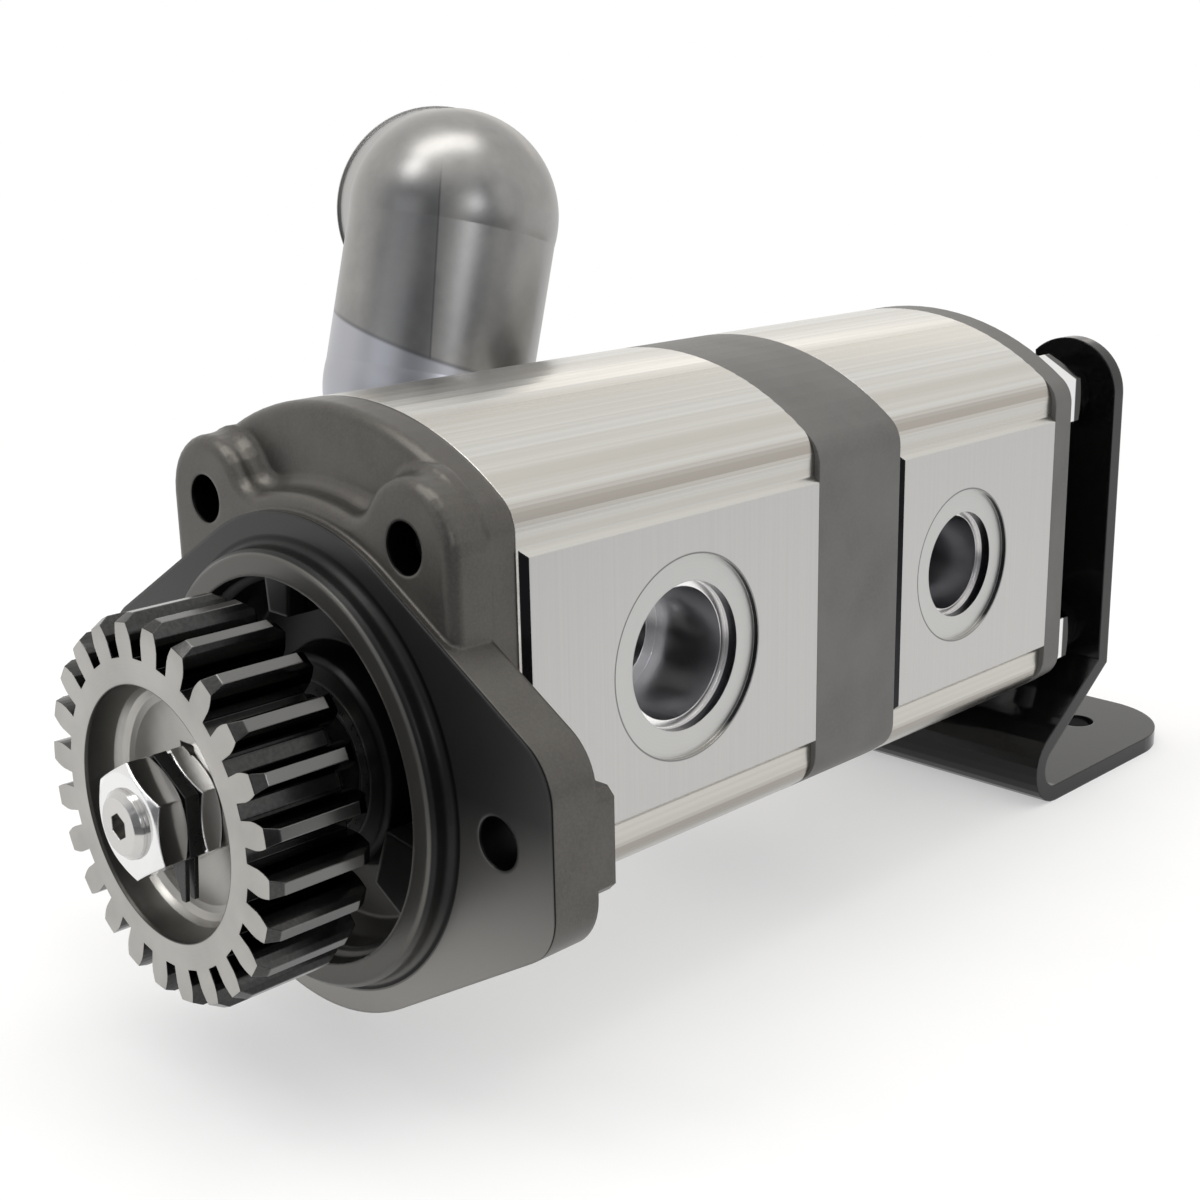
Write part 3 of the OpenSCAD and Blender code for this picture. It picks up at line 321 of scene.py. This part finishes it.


# Cast flange: dark satin casting with a fine grain, ground faces at the front, and painted light and shade
def cast_material():
    mat, tree = material("cast_flange")
    x, y, z = position(tree)
    _, ny, _ = direction(tree)
    radius = distance(tree, x, z)
    blotch = noise(tree, 70.0, 4.0, 0.6)
    grain = noise(tree, 2200.0, 3.0, 0.6)
    base = blend(tree, blotch, 0.35, 0.65, srgb(78, 76, 73), srgb(88, 86, 82))
    base = mix_colour(tree, remap(tree, grain, 0.35, 0.7, 0, 0.5), base, srgb(100, 97, 93))

    # Ground faces that look forward, with painted shading: painted light at the bottom, painted shade at
    # the top
    forward = below(tree, ny, -0.999, 0.009)
    ground = product(tree, forward, below(tree, y, 0.0002, 0.0004))
    painted_shading = blend(tree, z, -0.038, 0.006, srgb(158, 156, 152), srgb(58, 58, 58))
    base = mix_colour(tree, ground, base, painted_shading)

    # Pilot and its inside, with the same painted shading (painted shade, near black, in the cavity), and
    # the pilot's front ring in an even mid tone
    pilot = product(tree, below(tree, radius, PILOT_FILLET_R + 0.0002, 0.0002),
                    below(tree, y, PILOT_BACK_Y, 0.0005))
    painted_shading = blend(tree, z, -0.036, -0.012, srgb(104, 103, 100), srgb(34, 34, 34), smooth=True)
    base = mix_colour(tree, pilot, base, painted_shading)
    ring = product(tree, below(tree, y, PILOT_FRONT_Y + 0.0003, 0.0002),
                   above(tree, radius, PILOT_BORE_R - 0.0004, 0.0003))
    base = mix_colour(tree, ring, base, srgb(92, 91, 88))

    # Painted shade: near-black walls of the upper stud holes and the ear holes
    side = absolute(tree, x)
    painted_hole_shade = largest(tree, in_hole(tree, side, z, STUD_X, STUD_TOP_Z, HOLE_WALL_R),
                    in_hole(tree, side, z, EAR_X, 0.0, HOLE_WALL_R))
    base = mix_colour(tree, painted_hole_shade, base, srgb(7, 7, 7))

    # Dark line along the edge of the mounting face
    edge = product(tree, below(tree, y, 0.00025, 0.0002), above(tree, y, -0.0003, 0.0002),
                   rest(tree, forward))
    base = mix_colour(tree, edge, base, srgb(12, 12, 12))

    rough = remap(tree, grain, 0.3, 0.7, 0.33, 0.4)
    return surface(mat, base, 0.75, rough, bump(tree, grain, 0.00003, 0.25, edge_round(tree, 0.0010, 8)))


# Extruded aluminium: die lines along the shafts, milled lines on the pads, turned rings at the ports
def aluminium_material():
    mat, tree = material("extruded_aluminium")
    x, y, z = position(tree)
    nx, ny, _ = direction(tree)
    out = absolute(tree, x)
    sideways = absolute(tree, nx)
    flat = above(tree, sideways, 0.97, 0.025)
    pad = product(tree, flat, above(tree, out, PAD_X - 0.0007, 0.0004))
    die_lines = noise(tree, 1.0, stretch=(900, 1.5, 900))
    bands = noise(tree, 1.0, 2.0, 0.5, stretch=(150, 0.4, 150))
    milled = noise(tree, 1.0, stretch=(300, 2600, 14))

    # Masks of the ports: the turned seat, a thin ring of painted shade round it where the seat's shallow
    # wall shows dark, and all that lies deeper than the seat
    inside = below(tree, out, SEAT_X - 0.0002, 0.00015)
    masks = []
    for port_y, bore_r, seat_r in PORTS:
        radius = distance(tree, difference(tree, y, port_y), difference(tree, z, BODY_MID_Z))
        seat = below(tree, radius, seat_r, 0.0001)
        seat_edge_shade = product(tree, above(tree, radius, seat_r, 0.00005),
                         below(tree, radius, seat_r + 0.00025, 0.00015))
        bore = product(tree, below(tree, radius, bore_r + 0.0001, 0.0003), inside)
        masks.append((seat, seat_edge_shade, bore))
        rings = calc(tree, "SINE", product(tree, radius, SEAT_WAVES))
        milled = mix_value(tree, seat, milled, remap(tree, rings, -1, 1, 0.35, 0.65))
    seat, seat_edge_shade, bore = (largest(tree, front, rear) for front, rear in zip(*masks))
    port_side = above(tree, x, 0.0, 0.001)
    seat = product(tree, seat, flat, port_side)
    seat_edge_shade = product(tree, seat_edge_shade, flat, port_side)

    # Crown, with a painted dark reflection as a line along its corner
    crown = rest(tree, largest(tree, pad, seat))
    base = blend(tree, die_lines, 0.3, 0.7, srgb(194, 192, 187), srgb(208, 207, 203))
    base = mix_colour(tree, remap(tree, bands, 0.4, 0.6, 0, 0.6, smooth=True), base, srgb(184, 180, 172))
    corner = product(tree, above(tree, sideways, 0.7, 0.23, smooth=True),
                     below(tree, sideways, 0.965, 0.033, smooth=True),
                     below(tree, absolute(tree, ny), 0.1, 0.1))
    base = mix_colour(tree, corner, base, srgb(168, 163, 156))

    # Pads, seats with the painted shade round them, and the bevel at the front of each pad painted dark as
    # painted shade
    milled_face = blend(tree, milled, 0.3, 0.7, srgb(189, 188, 187), srgb(196, 195, 193))
    base = mix_colour(tree, pad, base, milled_face)
    base = mix_colour(tree, seat, base, srgb(194, 194, 192))
    # Painted shade: a thin dark ring round each seat
    base = mix_colour(tree, seat_edge_shade, base, srgb(128, 127, 126))
    bevel = product(tree, below(tree, ny, -0.6, 0.2), above(tree, out, SIDE_X - 0.0007, 0.0003),
                    rest(tree, bore))
    base = mix_colour(tree, bevel, base, srgb(52, 52, 54))

    # Inside a port: light wall with a faint painted bright band near the step, painted shadow on the wall
    # from the step to the seat, and a painted highlight on the step
    wall = blend(tree, out, STEP_X - 0.001, STEP_X - 0.0008, srgb(192, 192, 195), srgb(198, 197, 198))
    wall = mix_colour(tree, above(tree, out, STEP_X - 0.0002, 0.0001), wall, srgb(62, 62, 66))
    base = mix_colour(tree, bore, base, wall)
    base = mix_colour(tree, product(tree, bore, flat), base, srgb(248, 247, 246))

    milled_rough = remap(tree, milled, 0.3, 0.7, 0.38, 0.46)
    crown_rough = remap(tree, bands, 0.3, 0.7, 0.2, 0.3)
    rough = mix_value(tree, bore, mix_value(tree, crown, milled_rough, crown_rough), 0.26)
    grain = product(tree, mix_value(tree, crown, milled, die_lines), rest(tree, bore))
    return surface(mat, base, 1.0, rough, bump(tree, grain, 0.000008, 0.3, edge_round(tree, 0.0003)))


# Drive gear: turned faces with a dark ring of painted shade at the dish's edge, dark tooth flanks, lighter
# tooth tips
def gear_material():
    mat, tree = material("drive_gear_steel")
    x, _, z = position(tree)
    _, ny, _ = direction(tree)
    radius = distance(tree, x, z)
    flat = above(tree, absolute(tree, ny), 0.9, 0.07)
    rings = turned_rings(tree)
    cloud = noise(tree, 60.0)
    fine = noise(tree, 1500.0)
    face = blend(tree, cloud, 0.35, 0.65, srgb(158, 156, 152), srgb(174, 172, 168))
    # Painted shade: a dark ring just inside the edge of the dish
    dish_edge_shade = product(tree, above(tree, radius, GEAR_DISH_R - 0.0016, 0.0018, smooth=True),
                  below(tree, radius, GEAR_DISH_R + 0.0002, 0.0002))
    face = mix_colour(tree, dish_edge_shade, face, srgb(70, 69, 67))
    tooth = blend(tree, fine, 0.35, 0.65, srgb(64, 64, 64), srgb(74, 74, 73))
    tooth = mix_colour(tree, above(tree, radius, GEAR_TIP_R - 0.00015, 0.0001), tooth, srgb(112, 112, 111))
    teeth = product(tree, above(tree, radius, GEAR_ROOT_R - 0.0008, 0.0004), rest(tree, flat))
    base = mix_colour(tree, teeth, face, tooth)
    rough = mix_value(tree, teeth, remap(tree, rings, 0, 1, 0.29, 0.33), 0.17)
    normal = bump(tree, product(tree, rings, flat), 0.000004, 0.12, edge_round(tree, 0.0003))
    return surface(mat, base, 1.0, rough, normal)


def plate_material():
    mat, tree = material("ground_plate")
    fine = noise(tree, 1400.0, 4.0, 0.6)
    cloud = noise(tree, 50.0)
    base = blend(tree, cloud, 0.35, 0.65, srgb(98, 97, 95), srgb(108, 107, 105))
    base = mix_colour(tree, remap(tree, fine, 0.4, 0.7, 0, 0.4), base, srgb(120, 119, 117))
    rough = remap(tree, fine, 0.3, 0.7, 0.46, 0.56)
    return surface(mat, base, 0.6, rough, bump(tree, fine, 0.00002, 0.25, edge_round(tree, 0.0004)))


# Black paint of the bracket, with a slight orange peel
def gloss_black_material():
    mat, tree = material("gloss_black_paint")
    peel = noise(tree, 260.0, 2.0)
    fine = noise(tree, 1200.0, 2.0)
    base = blend(tree, fine, 0.4, 0.7, srgb(10, 10, 10), srgb(18, 18, 18))
    rough = remap(tree, peel, 0.3, 0.7, 0.1, 0.16)
    tree.nodes["Principled BSDF"].inputs["Specular IOR Level"].default_value = 0.3
    return surface(mat, base, 0.0, rough, bump(tree, peel, 0.00003, 0.3, edge_round(tree, 0.0005)))


# Suction pipe: dull plated steel, with a painted bluish highlight below a slanted seam
def pipe_material():
    mat, tree = material("suction_pipe_steel")
    x, y, z = position(tree)
    dent = noise(tree, 30.0, 2.0, 0.5)
    fine = noise(tree, 1100.0)
    cloud = noise(tree, 55.0, 4.0, 0.65)
    base = blend(tree, cloud, 0.35, 0.65, srgb(140, 139, 138), srgb(156, 155, 153))
    out_x = difference(tree, x, PIPE_X)
    along_y = difference(tree, y, PIPE_Y)
    height = weighted(tree, (z, 1.0), (out_x, PIPE_SEAM_SLOPE), (along_y, PIPE_LEAN))
    # Painted highlight: below the slanted seam the pipe is lighter and bluish
    lower = below(tree, height, PIPE_SEAM_Z - 0.0005, 0.001, smooth=True)
    seam = product(tree, above(tree, height, PIPE_SEAM_Z - 0.0007, 0.0007),
                   below(tree, height, PIPE_SEAM_Z, 0.0007))
    base = mix_colour(tree, lower, base, srgb(172, 173, 179))
    base = mix_colour(tree, product(tree, seam, 0.6), base, srgb(70, 70, 74))

    # Weld seam up the outside of the bend, with a painted dark reflection on the half in front of it
    out_y = weighted(tree, (along_y, 1.0), (difference(tree, z, PIPE_SEAM_Z), -PIPE_LEAN))
    across, along = WELD_ACROSS
    half = weighted(tree, (out_x, across), (out_y, along), (difference(tree, z, WELD_MID_Z), WELD_SLOPE))
    outside = weighted(tree, (out_x, along), (out_y, -across))
    upper = product(tree, rest(tree, lower), below(tree, z, WELD_TOP_Z, 0.008, smooth=True),
                    above(tree, outside, 0.0, 0.004))
    painted_dark_half = product(tree, above(tree, half, -0.020, 0.012, smooth=True),
                     below(tree, half, -0.0001, 0.0002), upper)
    base = mix_colour(tree, product(tree, painted_dark_half, 0.5), base, srgb(106, 107, 109))
    weld = product(tree, below(tree, absolute(tree, half), 0.0001, 0.0002), upper)
    base = mix_colour(tree, product(tree, weld, 0.45), base, srgb(74, 73, 71))

    rough = remap(tree, cloud, 0.3, 0.7, 0.28, 0.36)
    dented = bump(tree, dent, 0.0006, 0.2, edge_round(tree, 0.0004))
    return surface(mat, base, 1.0, rough, bump(tree, fine, 0.00003, 0.2, dented))


def rubber_material():
    mat, tree = material("seal_rubber")
    fine = noise(tree, 1300.0)
    base = blend(tree, fine, 0.4, 0.7, srgb(22, 22, 23), srgb(38, 38, 39))
    return surface(mat, base, 0.0, remap(tree, fine, 0.3, 0.7, 0.5, 0.65), bump(tree, fine, 0.00003, 0.3))


# Bright tie nuts, with a painted dark reflection of the bracket on their part toward it
def tie_nut_material():
    mat = metal("plated_tie_nuts", srgb(228, 228, 228), 0.1, variation=0.02, edge=0.0004)
    tree = mat.node_tree
    base = tree.nodes["Principled BSDF"].inputs["Base Color"]
    _, y, _ = position(tree)
    painted_bracket_reflection = above(tree, y, NUT_MIRROR_Y, 0.0004)
    feed(tree, base, mix_colour(tree, painted_bracket_reflection, base.links[0].from_socket, srgb(58, 58, 57)))
    return mat


# Looks by the material slots of the CAD nodes, and the looks of nodes that differ from their slot
oxide = metal("black_oxide", srgb(52, 52, 52), 0.3, metallic=0.8, variation=0.1)
ground_steel = metal("ground_steel", srgb(196, 195, 193), 0.16, variation=0.03)
LOOKS = {
    "cast": cast_material(),
    "aluminium": aluminium_material(),
    "plate": plate_material(),
    "gear_steel": gear_material(),
    "gloss_black": gloss_black_material(),
    "pipe": pipe_material(),
    "rubber": rubber_material(),
    "bright": metal("bright_plating", srgb(228, 228, 228), 0.08, grain=400, variation=0.02, edge=0.0005),
    "shaft_steel": ground_steel,
    "oxide": oxide,
    "bronze": metal("bearing_bronze", srgb(190, 150, 96), 0.35),
    "bearing": metal("bearing_aluminium", srgb(200, 198, 192), 0.38),
}
OWN_LOOKS = {"tie_studs": oxide, "tie_nuts": tie_nut_material(), "bracket_nuts": ground_steel}
for part in frame["record"]["subparts"]:
    obj = nodes[part["node"]]
    look = OWN_LOOKS.get(part["node"], LOOKS[part["material_slot"]])
    obj.data.materials.clear()
    obj.data.materials.append(look)


# Camera
def camera():
    data = bpy.data.cameras.new("camera")
    cam = bpy.data.objects.new("camera", data)
    bpy.context.scene.collection.objects.link(cam)
    back = Vector(CAMERA_BACK).normalized()
    level_right = Vector((0, 0, 1)).cross(back).normalized()
    level_up = back.cross(level_right)
    roll = math.radians(CAMERA_ROLL)
    right = math.cos(roll) * level_right + math.sin(roll) * level_up
    up = math.cos(roll) * level_up - math.sin(roll) * level_right
    turn = Matrix((right, up, back)).transposed().to_4x4()
    cam.matrix_world = Matrix.Translation(CAMERA_PLACE) @ turn
    data.sensor_width = 36.0
    data.lens = CAMERA_LENS
    data.clip_start = 0.005
    data.clip_end = 20.0
    bpy.context.scene.camera = cam


camera()


def emission(tree, colour):
    node = tree.nodes.new("ShaderNodeEmission")
    node.inputs["Color"].default_value = (*colour, 1)
    node.inputs["Strength"].default_value = 1.0
    return node.outputs[0]


def mix_shader(tree, mask, a, b):
    node = tree.nodes.new("ShaderNodeMixShader")
    for socket, value in zip(node.inputs, (mask, a, b)):
        tree.links.new(value, socket)
    return node.outputs[0]


# Floor: half matt near the pump, where it takes the shadow, and plain white further out, for the camera
# and in reflections. In front of the pump it's dark in reflections.
def floor():
    half = 3.0
    corners = [(x * half, y * half, FLOOR_Z) for x, y in ((-1, -1), (1, -1), (1, 1), (-1, 1))]
    mesh = bpy.data.meshes.new("floor")
    mesh.from_pydata(corners, [], [(0, 1, 2, 3)])
    obj = bpy.data.objects.new("floor", mesh)
    bpy.context.scene.collection.objects.link(obj)
    mat, tree = material("pale_floor")
    bsdf = tree.nodes["Principled BSDF"]
    speck = noise(tree, 40.0, 2.0)
    base = blend(tree, speck, 0.3, 0.7, (0.92, 0.92, 0.92), (0.94, 0.94, 0.94))
    feed(tree, bsdf.inputs["Base Color"], base)
    bsdf.inputs["Roughness"].default_value = 0.95
    bsdf.inputs["Specular IOR Level"].default_value = 0.0
    x, y, _ = position(tree)
    ray = tree.nodes.new("ShaderNodeLightPath").outputs
    mirrored = largest(tree, ray["Is Glossy Ray"], ray["Is Transmission Ray"])
    seen = largest(tree, ray["Is Camera Ray"], mirrored)
    away = distance(tree, x, difference(tree, y, PUMP_Y))
    fade = product(tree, remap(tree, away, WHITE_START, WHITE_FULL, 0.45, 1.0, smooth=True), seen)
    lit = mix_shader(tree, fade, bsdf.outputs[0], emission(tree, (1, 1, 1)))
    in_front = weighted(tree, (x, NEAR_SIDE[0]), (y, NEAR_SIDE[1]))
    dark = remap(tree, in_front, DARK_START, DARK_FULL, 0, 0.85, smooth=True)
    dark = product(tree, dark, ray["Is Glossy Ray"])
    shaded = mix_shader(tree, dark, lit, emission(tree, (0.05, 0.05, 0.06)))
    tree.links.new(shaded, tree.nodes["Material Output"].inputs["Surface"])
    mesh.materials.append(mat)


floor()


# Lamps
def area(name, place, size, power, colour=(1, 1, 1)):
    """A rectangular lamp that looks at the pump."""
    data = bpy.data.lights.new(name, "AREA")
    data.shape = "RECTANGLE"
    data.size = size[0]
    data.size_y = size[1]
    data.energy = power
    data.color = colour
    obj = bpy.data.objects.new(name, data)
    bpy.context.scene.collection.objects.link(obj)
    obj.location = place
    aim = Vector(LAMP_AIM) - Vector(place)
    obj.rotation_euler = aim.to_track_quat("-Z", "Y").to_euler()


def around(azimuth, elevation, reach):
    """A place seen from the pump at an azimuth, counted from the front to the right, and an elevation."""
    turn, rise = math.radians(azimuth), math.radians(elevation)
    level = reach * math.cos(rise)
    return (level * math.sin(turn), PUMP_Y - level * math.cos(turn), LAMP_CENTRE_Z + reach * math.sin(rise))


area("top_soft", (-0.06, 0.0, 1.1), (0.4, 0.95), 3.9, (1.0, 0.985, 0.96))
area("key_high", around(-18, 50, 1.1), (0.3, 0.3), 1.3)
area("key_right", around(72, 20, 1.1), (0.28, 0.25), 1.0, (0.96, 0.97, 1.0))
area("right_soft", around(54, 13, 1.2), (0.3, 0.7), 0.3, (1.0, 0.99, 0.97))
area("right_high", around(108, 20, 1.2), (0.35, 0.7), 0.5, (1.0, 0.99, 0.98))
area("left_soft", around(-6, 14, 1.2), (0.7, 0.5), 0.75, (0.97, 0.98, 1.0))
area("back_warm", around(215, 24, 1.2), (0.9, 0.12), 0.24, (1.0, 0.9, 0.78))


# Studio room: white to the camera; for light and reflections white behind and above, and darker on the
# side that the camera stands on
def room():
    world = bpy.data.worlds.new("studio")
    bpy.context.scene.world = world
    world.use_nodes = True
    tree = world.node_tree
    view = tree.nodes.new("ShaderNodeTexCoord").outputs["Generated"]
    toward_camera = tree.nodes.new("ShaderNodeVectorMath")
    toward_camera.operation = "DOT_PRODUCT"
    tree.links.new(view, toward_camera.inputs[0])
    toward_camera.inputs[1].default_value = NEAR_SIDE
    _, _, z = separate(tree, view)
    side = remap(tree, toward_camera.outputs["Value"], -0.1, 0.7, 1.0, NEAR_LEVEL, smooth=True)
    level = mix_value(tree, above(tree, z, 0.45, 0.4, smooth=True), side, 1.0)
    walls = tree.nodes["Background"]
    colour = blend(tree, level, NEAR_LEVEL, 1.0, (0.94, 0.96, 1.0), (1.0, 0.99, 0.97))
    feed(tree, walls.inputs["Color"], colour)
    feed(tree, walls.inputs["Strength"], level)
    backdrop = tree.nodes.new("ShaderNodeBackground")
    backdrop.inputs["Color"].default_value = (1, 1, 1, 1)
    backdrop.inputs["Strength"].default_value = 1.0
    ray = tree.nodes.new("ShaderNodeLightPath").outputs
    shown = mix_shader(tree, ray["Is Camera Ray"], walls.outputs[0], backdrop.outputs[0])
    tree.links.new(shown, tree.nodes["World Output"].inputs["Surface"])


room()

scene = bpy.context.scene
scene.view_settings.view_transform = "Standard"
scene.view_settings.look = "None"
scene.view_settings.exposure = 0.0
scene.view_settings.gamma = 1.0
